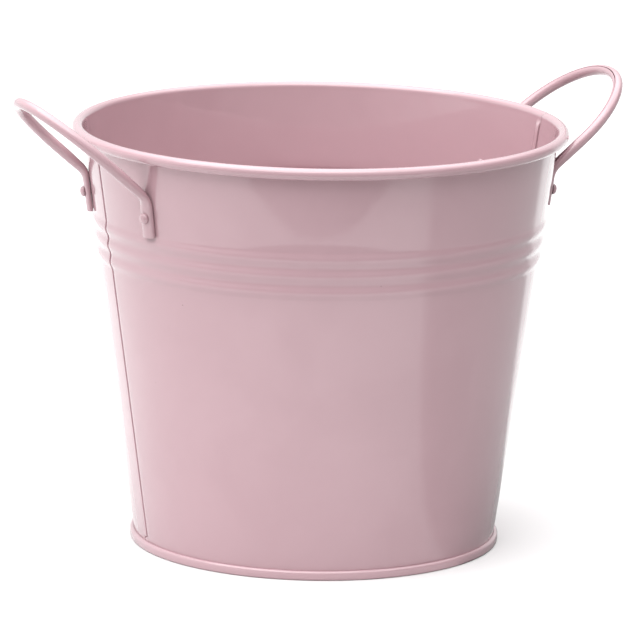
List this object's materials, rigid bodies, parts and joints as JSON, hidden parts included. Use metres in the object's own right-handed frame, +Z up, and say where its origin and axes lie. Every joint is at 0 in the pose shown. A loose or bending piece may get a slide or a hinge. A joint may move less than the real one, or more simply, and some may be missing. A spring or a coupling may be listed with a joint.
{
  "type": "florist bucket",
  "caption": "Tapered sheet-metal florist bucket with a curled rim, pressed beads round the wall, a seamed foot and riveted side handles, enamelled pink.",
  "frame": {"origin": "middle of the foot, on the surface the bucket stands on", "axes": "+Z up along the bucket's axis, +X through the middle of the right handle, -X through the left handle, -Y the front wall"},
  "size_m": [0.2496, 0.1896, 0.1782],
  "materials": {
    "enamel": "gloss dusty-pink enamel over tinplate, faint orange peel"
  },
  "bodies": {
    "root": {"wall_panel_front": "enamel", "wall_panel_back": "enamel", "base_pan": "enamel", "handle_left": "enamel", "handle_right": "enamel", "rivet_left_front": "enamel", "rivet_left_back": "enamel", "rivet_right_front": "enamel", "rivet_right_back": "enamel"}
  },
  "joints": []
}
